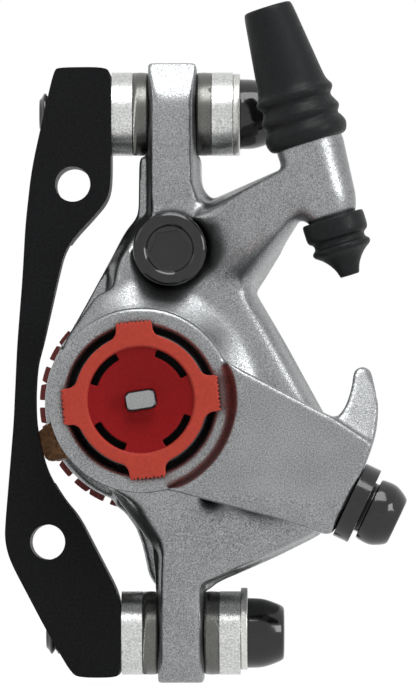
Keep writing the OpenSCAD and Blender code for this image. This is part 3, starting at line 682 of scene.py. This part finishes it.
class BRAKE_OT_housings(Operator):
    """Makes the two cast housings with their rounded edges"""

    bl_idname = "brake.housings"
    bl_label = "Housings"

    def execute(self, context):
        casting = context.scene.brake_casting
        piece = welded_copy("outer_housing", "outer_housing_casting")
        corner = [
            (19.6, -31.4), (20.6, -31.2), (26.1, -28.75), (31.0, -26.75), (37.0, -23.9), (36.0, -21.0),
            (26.0, -21.0), (17.0, -24.0),
        ]
        put_in(piece, prism("lower_corner", corner, -6.0, 2.7))
        skin_over(piece, casting.body_cell)
        for vertex in piece.data.vertices:
            x, depth, y = vertex.co / MM
            if x < 23.0:
                vertex.co.y = max(depth, -ear_limit(y)) * MM
        soften(piece, casting.body_softening, casting_weight)
        soften(piece, casting.dome_softening, dome_weight)
        take(piece, "outer_housing", blasted_silver())
        piece = welded_copy("inner_housing", "inner_housing_casting")
        foot = [
            (26.0, -28.4), (21.2, -30.9), (14.5, -32.0), (13.1, -31.6), (12.2, -30.0), (11.8, -28.0),
            (11.3, -25.8), (10.4, -23.4), (8.9, -21.3), (7.2, -20.0), (8.0, -16.0), (24.0, -20.0),
        ]
        strip = prism("lower_strip", foot, -26.1, -14.0)
        rotor_slot = turned("rotor_slot", (-54.2, -34.2), band(60.0, 82.0, -18.2, -10.0), 360)
        combine(strip, "DIFFERENCE", rotor_slot)
        put_in(piece, strip)
        skin_over(piece, casting.body_cell)
        soften(piece, casting.inner_softening)
        take(piece, "inner_housing", blasted_silver())
        return {"FINISHED"}


def fallen(distance, ease, slope):
    """How far a front has dropped after a distance in which its slope grows and then stays."""
    if distance <= 0.0:
        return 0.0
    if distance < ease:
        return slope * distance * distance / (2 * ease)
    return slope * (distance - ease / 2)


def ear_limit(y):
    """Height that the ears' fronts keep under, where they fall away to their ends."""
    if y > 36.0:
        return 3.2 - 0.1004 * (y - 15.0) - fallen(y - 36.5, 3.0, 0.48)
    if y < -42.0:
        return 3.2 + 0.1534 * (y + 27.0) - fallen(-42.3 - y, 1.3, 0.65)
    return 40.0


def casting_weight(x, y, height):
    """Full softening on the front and the outside, less in the bores and on the washers' seats."""
    if from_piston(x, y) < 12.0 or height < -4.0:
        return 0.25
    return 0.25 + 0.75 * min(1.0, max(0.0, (height + 2.0) / 2.0))


def dome_weight(x, y, height):
    """Extra softening where the front of the body swells into a dome."""
    clear = min(
        from_piston(x, y) - 13.4, math.hypot(x - 16.0, y - 16.0) - 6.0,
        math.hypot(x - 29.2, y + 15.3) - 5.8, 44.0 - x, 24.0 - y, y + 28.0, height + 1.0,
    )
    return min(1.0, max(0.0, clear / 2.0))


class BRAKE_OT_arm(Operator):
    """Makes the cast lever arm"""

    bl_idname = "brake.arm"
    bl_label = "Lever arm"

    def execute(self, context):
        casting = context.scene.brake_casting
        piece = welded_copy("lever_arm", "lever_arm_casting")
        combine(piece, "UNION", turned("ring", PISTON, band(8.4, 13.1, 8.6, 13.25)))
        fan = [around(PISTON, 20.0, math.radians(degrees)) for degrees in range(-66, 28, 6)]
        sector = prism("sector", [PISTON] + fan, 13.1, 14.9)
        filling = turned("filling", PISTON, band(11.5, 13.6, 13.1, 14.95))
        combine(filling, "INTERSECT", sector)
        combine(piece, "UNION", filling)
        well = [(0.0, 12.0), (9.9, 12.0), (10.2, 12.6), (10.7, 13.3), (10.8, 16.0), (0.0, 16.0)]
        cove = [
            (0.0, 13.25), (11.9, 13.25), (12.6, 13.6), (13.1, 14.3), (13.7, 15.0), (13.7, 17.0), (0.0, 17.0),
        ]
        combine(
            piece, "DIFFERENCE",
            turned("well", PISTON, well),
            turned("cove", PISTON, cove),
            wedge("lower_bevel", (20.8, -18.75, 15.0), -6.0, 37.0, (-1.0, 29.0), (-9.0, 0.0), 8.0),
            wedge("hook_lean", (37.6, -7.3, 14.3), -33.0, -22.0, (-3.0, 16.0), (0.0, 14.0), 10.0),
        )
        skin_over(piece, casting.arm_cell)
        soften(piece, casting.arm_softening, hook_spared)
        take(piece, "lever_arm", blasted_silver())
        # Painted shade: faces deep in the boss's well, near its floor, take the black finish where there is
        # only shade.
        piece.data.materials.append(anodised_black_and_well_shade())
        for face in piece.data.polygons:
            x, depth, y = face.center / MM
            if from_piston(x, y) < 9.4 and 11.0 < -depth < 12.9:
                face.material_index = 1
        return {"FINISHED"}


def hook_spared(x, y, height):
    """Full softening on the arm's plate and boss, little on the thin hook and inside the boss."""
    if height < 8.0:
        return 0.25
    if y > -7.0 and x > 38.0:
        return 0.5
    return 1.0


class BRAKE_OT_adapter(Operator):
    """Makes the black adapter"""

    bl_idname = "brake.adapter"
    bl_label = "Adapter"

    def execute(self, context):
        piece = broken_edges(
            "adapter", "adapter_plate", context.scene.brake_hardware.adapter_edge, segments=2)
        take(piece, "adapter", anodised_black_and_well_shade())
        return {"FINISHED"}


class BRAKE_OT_screws(Operator):
    """Makes the black screws"""

    bl_idname = "brake.screws"
    bl_label = "Screws"

    def execute(self, context):
        edge = context.scene.brake_hardware.bolt_edge
        glossy = ("upper_mount_bolt", "lower_mount_bolt", "anchor_bolt", "anchor_washer")
        for node in glossy:
            take(broken_edges(node, node + "_turned", edge), node, gloss_black())
        take(body_bolts(edge), "body_bolts", gloss_black())
        take(broken_edges("tension_screw", "tension_screw_turned", edge), "tension_screw", black_steel())
        return {"FINISHED"}


def body_bolts(edge):
    """The two housing screws, each with a round head, a dished recess and a hexagon socket."""
    bolts = welded_copy("body_bolts", "body_bolts_turned")
    over = [(0.0, -20.0), (50.0, -20.0), (50.0, 30.0), (0.0, 30.0)]
    combine(bolts, "DIFFERENCE", prism("old_heads", over, HEAD_SEAT, 12.0))
    foot = HEAD_SEAT - 0.05
    top = HEAD_SEAT + HEAD_HEIGHT
    for centre in BODY_BOLTS:
        head = turned("head", centre, [
            (0.0, foot), (HEAD_RADIUS, foot), (HEAD_RADIUS, top - 0.5), (5.05, top - 0.2), (4.75, top),
            (3.65, top), (3.4, top - 0.15), (3.2, top - 0.75), (0.0, top - 0.85),
        ])
        across = 5.0 / math.sqrt(3)
        hexagon = [around(centre, across, math.radians(60 * step + 8)) for step in range(6)]
        combine(head, "DIFFERENCE", prism("socket", hexagon, HEAD_SEAT + 0.7, top + 1.0))
        put_in(bolts, with_bevel(head, edge))
    bolts.data.shade_smooth()
    bolts.data.set_sharp_from_angle(angle=SHARP)
    return bolts


class BRAKE_OT_washers(Operator):
    """Makes the cup, ball and flat washers"""

    bl_idname = "brake.washers"
    bl_label = "Washers"

    def execute(self, context):
        edge = context.scene.brake_hardware.washer_edge
        finishes = {
            "cup": (cup_steel(), edge), "ball": (ball_steel(), edge), "flat": (flat_steel(), edge * 0.6)}
        for place in ("upper", "lower"):
            for kind, (material, width) in finishes.items():
                node = f"{place}_{kind}_washer" + ("" if kind == "flat" else "s")
                take(broken_edges(node, node + "_turned", width), node, material)
        return {"FINISHED"}


class BRAKE_OT_boots(Operator):
    """Makes the rubber boots"""

    bl_idname = "brake.boots"
    bl_label = "Cable boots"

    def execute(self, context):
        rubber = context.scene.brake_rubber
        for node in ("cable_boot_top", "cable_boot_bottom"):
            piece = skinned(node, node + "_moulding", rubber.cell, rubber.softening)
            take(piece, node, boot_rubber())
        return {"FINISHED"}


class BRAKE_OT_knobs(Operator):
    """Makes the plastic pad adjusters and the screw tip between them"""

    bl_idname = "brake.knobs"
    bl_label = "Adjuster knobs"

    def execute(self, context):
        edge = context.scene.brake_knob.edge
        knob = outboard_knob(context.scene.brake_knob.cell)
        take(knob, "outboard_knob", red_plastic())
        knob.data.materials.append(dish_painted_shade())
        # Painted shade: faces within 7.5 mm of the axis and below the knob's top take the darker red of the
        # dish.
        for face in knob.data.polygons:
            x, depth, y = face.center / MM
            if from_piston(x, y) < 7.5 and -depth < 16.1:
                face.material_index = 1
        take(broken_edges("inboard_knob", "inboard_knob_moulding", edge), "inboard_knob", dark_red_plastic())
        screw = welded_copy("foot_screw", "foot_screw_turned")
        combine(screw, "DIFFERENCE", turned("old_tip", PISTON, band(0.0, 4.0, 14.4, 18.0)))
        combine(screw, "UNION", prism("tip", tip_outline(0.0), 13.9, 17.1))
        take(with_bevel(screw, edge), "foot_screw", bright_pin())
        indexer = turned("outboard_indexer_ring", PISTON, band(8.5, 9.5, 13.01, 13.25))
        take(with_bevel(indexer, edge * 0.3), "outboard_indexer", dark_plastic())
        return {"FINISHED"}


def tip_outline(margin):
    """The screw's flat-sided tip with round corners, wider by a margin."""
    half_long, half_wide, corner = 1.98 + margin, 1.17 + margin, 0.75
    points = []
    for side, start in (((1, 1), 0), ((-1, 1), 90), ((-1, -1), 180), ((1, -1), 270)):
        centre = Vector((side[0] * (half_long - corner), side[1] * (half_wide - corner)))
        for step in range(6):
            angle = math.radians(start + 18 * step)
            points.append(centre + corner * Vector((math.cos(angle), math.sin(angle))))
    turn = Matrix.Rotation(math.radians(9.0), 2)
    return [tuple(Vector(PISTON) + turn @ point) for point in points]


def knob_outline(disc=9.35, tip=11.15, half=2.55, fillet=1.6, teeth=9, turn=5.3):
    """The knob's disc with four serrated tabs on concave roots."""
    reach = math.sqrt((disc + fillet) ** 2 - (half + fillet) ** 2)
    lean = math.atan2(half + fillet, reach)
    tab = []
    for step in range(9):
        angle = math.pi - lean + (lean - math.pi / 2) * step / 8
        tab.append((reach + fillet * math.cos(angle), -half - fillet + fillet * math.sin(angle)))
    pitch = 2 * half / teeth
    for tooth in range(teeth):
        low = -half + tooth * pitch
        tab += [(tip - 0.6, low), (tip, low + 0.36 * pitch), (tip, low + 0.66 * pitch)]
    tab.append((tip - 0.6, half))
    tab += [(x, -y) for x, y in reversed(tab[:9])]
    points = []
    for quarter in range(4):
        turned_by = Matrix.Rotation(math.radians(turn + 90 * quarter), 2)
        points += [tuple(Vector(PISTON) + turned_by @ Vector(point)) for point in tab]
        for step in range(1, 12):
            angle = math.radians(turn + 90 * quarter) + lean + (math.pi / 2 - 2 * lean) * step / 12
            points.append(around(PISTON, disc, angle))
    return points


def outboard_knob(cell):
    """The four-tab knob with its dished face, four slots and the hole for the screw's tip."""
    claws = welded_copy("outboard_knob", "claws")
    combine(claws, "INTERSECT", turned("inside", PISTON, band(0.0, 8.2, 11.9, 13.7)))
    knob = prism("outboard_knob_moulding", knob_outline(), 13.6, 16.3)
    combine(knob, "UNION", claws)
    slots = []
    for quarter in range(4):
        angles = [math.radians(50.3 + 90 * quarter + step * 5.5) for step in range(-4, 5)]
        outer = [around(PISTON, 7.45, angle) for angle in angles]
        inner = [around(PISTON, 6.4, angle) for angle in reversed(angles)]
        slots.append(prism(f"slot_{quarter}", outer + inner, 13.0, 17.0))
    combine(
        knob, "DIFFERENCE",
        turned("dish", PISTON, [(0.0, 15.1), (2.6, 15.1), (7.6, 15.9), (7.7, 17.0), (0.0, 17.0)]),
        turned("hollow", PISTON, band(0.0, 6.9, 13.0, 14.5)),
        prism("tip_hole", tip_outline(0.2), 13.0, 17.0), *slots,
    )
    return soften(skin_over(knob, cell), 2)


class BRAKE_OT_pads(Operator):
    """Makes the pads and their spring"""

    bl_idname = "brake.pads"
    bl_label = "Pads"

    def execute(self, context):
        edge = context.scene.brake_hardware.bolt_edge
        for side in ("outboard", "inboard"):
            plate = f"{side}_pad_plate"
            lining = f"{side}_lining"
            take(broken_edges(plate, plate + "_pressed", edge), plate, copper_brown())
            take(broken_edges(lining, lining + "_pressed", edge), lining, friction_material())
        paint("pad_spring", flat_steel())
        return {"FINISHED"}


class BRAKE_OT_mechanism(Operator):
    """Finishes the ball-and-ramp mechanism and its small parts"""

    bl_idname = "brake.mechanism"
    bl_label = "Mechanism"

    def execute(self, context):
        finishes = {
            anodised_black_and_well_shade: ("arm_nut",),
            ground_steel: ("return_spring", "drive_cam", "fixed_race", "pressure_foot", "inboard_foot_screw"),
            bronze: ("cam_bush", "ball_cage"),
            bearing_steel: ("balls",),
            boot_rubber: ("dust_seal", "cam_seal"),
            dark_plastic: ("inboard_indexer",),
        }
        for material, nodes in finishes.items():
            for node in nodes:
                paint(node, material())
        return {"FINISHED"}


class BRAKE_OT_stage(Operator):
    """Sets up the camera, the floor and the light"""

    bl_idname = "brake.stage"
    bl_label = "Stage"

    def execute(self, context):
        stage = context.scene.brake_stage
        low, high = (Vector(corner) for corner in CAD_BOX)
        add_camera(context, stage)
        add_floor(context, low.z - stage.floor_drop, stage.glow)
        add_tent(context, stage)
        add_lamps(context)
        context.scene.view_settings.view_transform = "Standard"
        return {"FINISHED"}


PICTURE_CENTRE = (21.02 * MM, 0.0, 2.70 * MM)
SENSOR = 36.0


def add_camera(context, stage):
    """A long lens, a little to the right of the caliper's front and below it."""
    data = bpy.data.cameras.new("Camera")
    data.sensor_fit = "HORIZONTAL"
    data.sensor_width = SENSOR
    data.lens = SENSOR * stage.distance / stage.seen_width
    data.clip_start = 0.1
    data.clip_end = 50.0
    camera = bpy.data.objects.new("Camera", data)
    context.scene.collection.objects.link(camera)
    back = Vector((
        math.sin(stage.azimuth) * math.cos(stage.elevation),
        -math.cos(stage.azimuth) * math.cos(stage.elevation),
        math.sin(stage.elevation),
    ))
    camera.location = Vector(PICTURE_CENTRE) + back * stage.distance
    camera.rotation_euler = (-back).to_track_quat("-Z", "Y").to_euler()
    context.scene.camera = camera


def background_rays(tree):
    """1 for the rays that show the background: the camera's, the mirrored ones and those let through."""
    rays = add_node(tree, "ShaderNodeLightPath")
    mirrored = add_node(tree, "ShaderNodeMath", {
        0: rays.outputs["Is Glossy Ray"], 1: rays.outputs["Is Transmission Ray"]}, operation="ADD")
    seen = add_node(tree, "ShaderNodeMath", {
        0: mirrored.outputs[0], 1: rays.outputs["Is Camera Ray"]}, operation="ADD")
    return seen.outputs[0]


def add_floor(context, level, glow):
    """A pale floor that looks white to the camera and keeps the caliper's shadow."""
    work = bmesh.new()
    bmesh.ops.create_circle(work, cap_ends=True, radius=12.0, segments=64)
    mesh = bpy.data.meshes.new("floor")
    work.to_mesh(mesh)
    work.free()
    floor = bpy.data.objects.new("floor", mesh)
    floor.location.z = level
    context.scene.collection.objects.link(floor)
    material = bpy.data.materials.new("pale_floor")
    material.use_nodes = True
    tree = material.node_tree
    matt = tree.nodes["Principled BSDF"]
    matt.inputs["Base Color"].default_value = (0.8, 0.8, 0.8, 1.0)
    matt.inputs["Roughness"].default_value = 0.9
    white = add_node(tree, "ShaderNodeEmission", {"Color": (1.0, 1.0, 1.0, 1.0), "Strength": 1.08})
    seen = add_node(tree, "ShaderNodeMath", {0: background_rays(tree), 1: glow}, operation="MULTIPLY")
    mixed = add_node(
        tree, "ShaderNodeMixShader", {0: seen.outputs[0], 1: matt.outputs[0], 2: white.outputs[0]})
    tree.links.new(mixed.outputs[0], tree.nodes["Material Output"].inputs["Surface"])
    floor.data.materials.append(material)
    corners = [(-0.12, -0.022), (0.16, -0.022), (0.16, 0.12), (-0.12, 0.12)]
    sheet_mesh = bpy.data.meshes.new("sheet")
    sheet_mesh.from_pydata([(x, y, level + 0.0001) for x, y in corners], [], [(0, 1, 2, 3)])
    sheet = bpy.data.objects.new("sheet", sheet_mesh)
    context.scene.collection.objects.link(sheet)
    paper = material.copy()
    paper.name = "white_sheet"
    paper.node_tree.nodes["Principled BSDF"].inputs["Base Color"].default_value = (0.85, 0.85, 0.85, 1.0)
    sheet.data.materials.append(paper)


def add_tent(context, stage):
    """A light tent: its walls light the matt surfaces, and the camera and the mirrored rays see white."""
    world = bpy.data.worlds.new("tent")
    context.scene.world = world
    world.use_nodes = True
    tree = world.node_tree
    tree.nodes.clear()
    way = add_node(tree, "ShaderNodeTexCoord").outputs["Generated"]
    toward = add_node(tree, "ShaderNodeVectorMath", {0: way, 1: (0.0, -1.0, 0.0)}, operation="DOT_PRODUCT")
    key_side = add_node(tree, "ShaderNodeVectorMath", {0: way, 1: (0.6, 0.0, 0.8)}, operation="DOT_PRODUCT")
    wall = add_node(tree, "ShaderNodeMapRange", {
        "Value": key_side.outputs["Value"], "From Min": -0.1, "From Max": 0.7,
        "To Min": stage.side_light * 0.3, "To Max": stage.side_light}, interpolation_type="SMOOTHSTEP")
    front = add_node(tree, "ShaderNodeMapRange", {
        "Value": toward.outputs["Value"], "From Min": 0.64, "From Max": 0.92, "To Min": wall.outputs[0],
        "To Max": stage.front_light}, interpolation_type="SMOOTHSTEP")
    back = add_node(tree, "ShaderNodeMapRange", {
        "Value": toward.outputs["Value"], "From Min": -0.3, "From Max": -0.62, "To Min": 0.0,
        "To Max": 1.0}, interpolation_type="SMOOTHSTEP")
    level = add_node(tree, "ShaderNodeMix", {
        "Factor": back.outputs[0], "A": front.outputs[0], "B": stage.back_light}, data_type="FLOAT")
    walls = add_node(
        tree, "ShaderNodeBackground", {"Color": (1.0, 1.0, 1.0, 1.0), "Strength": level.outputs[0]})
    white = add_node(tree, "ShaderNodeBackground", {"Color": (1.0, 1.0, 1.0, 1.0), "Strength": 1.0})
    mixed = add_node(
        tree, "ShaderNodeMixShader", {0: background_rays(tree), 1: walls.outputs[0], 2: white.outputs[0]})
    result = add_node(tree, "ShaderNodeOutputWorld", {"Surface": mixed.outputs[0]})
    result.is_active_output = True


def add_lamps(context):
    """Soft lamps over the caliper, from the left and from the right."""
    centre = Vector(PICTURE_CENTRE)
    for name, way, size, power in (
        ("top_lamp", (0.15, -0.6, 1.0), 0.5, 4.4),
        ("right_lamp", (1.0, -0.7, 0.25), 0.3, 2.0),
        ("left_lamp", (-1.0, -0.4, 0.5), 0.3, 0.2),
    ):
        data = bpy.data.lights.new(name, "AREA")
        data.size = size
        data.energy = power
        lamp = bpy.data.objects.new(name, data)
        back = Vector(way).normalized()
        lamp.location = centre + back * 0.8
        lamp.rotation_euler = (-back).to_track_quat("-Z", "Y").to_euler()
        lamp.visible_camera = False
        context.scene.collection.objects.link(lamp)


class BRAKE_PT_sidebar(Panel):
    """The caliper's pieces and their settings."""

    bl_idname = "BRAKE_PT_sidebar"
    bl_label = "Brake caliper"
    bl_space_type = "VIEW_3D"
    bl_region_type = "UI"
    bl_category = "Brake"

    def draw(self, context):
        for operator in OPERATORS:
            self.layout.operator(operator.bl_idname)
        for name, group in SETTINGS.items():
            box = self.layout.box()
            for prop in group.__annotations__:
                box.prop(getattr(context.scene, name), prop)


SETTINGS = {
    "brake_casting": CastingSettings,
    "brake_hardware": HardwareSettings,
    "brake_rubber": RubberSettings,
    "brake_knob": KnobSettings,
    "brake_stage": StageSettings,
}
OPERATORS = (
    BRAKE_OT_housings, BRAKE_OT_arm, BRAKE_OT_adapter, BRAKE_OT_screws, BRAKE_OT_washers, BRAKE_OT_boots,
    BRAKE_OT_knobs, BRAKE_OT_pads, BRAKE_OT_mechanism, BRAKE_OT_stage,
)


def register():
    """Registers the settings, the operators and the panel."""
    for name, group in SETTINGS.items():
        bpy.utils.register_class(group)
        setattr(bpy.types.Scene, name, PointerProperty(type=group))
    for operator in OPERATORS:
        bpy.utils.register_class(operator)
    bpy.utils.register_class(BRAKE_PT_sidebar)


def unregister():
    """Takes the panel, the operators and the settings out again."""
    bpy.utils.unregister_class(BRAKE_PT_sidebar)
    for operator in reversed(OPERATORS):
        bpy.utils.unregister_class(operator)
    for name, group in reversed(SETTINGS.items()):
        delattr(bpy.types.Scene, name)
        bpy.utils.unregister_class(group)


def main():
    """Builds the dressed caliper."""
    register()
    for operator in OPERATORS:
        area, name = operator.bl_idname.split(".")
        getattr(getattr(bpy.ops, area), name)()


if __name__ == "__main__":
    main()
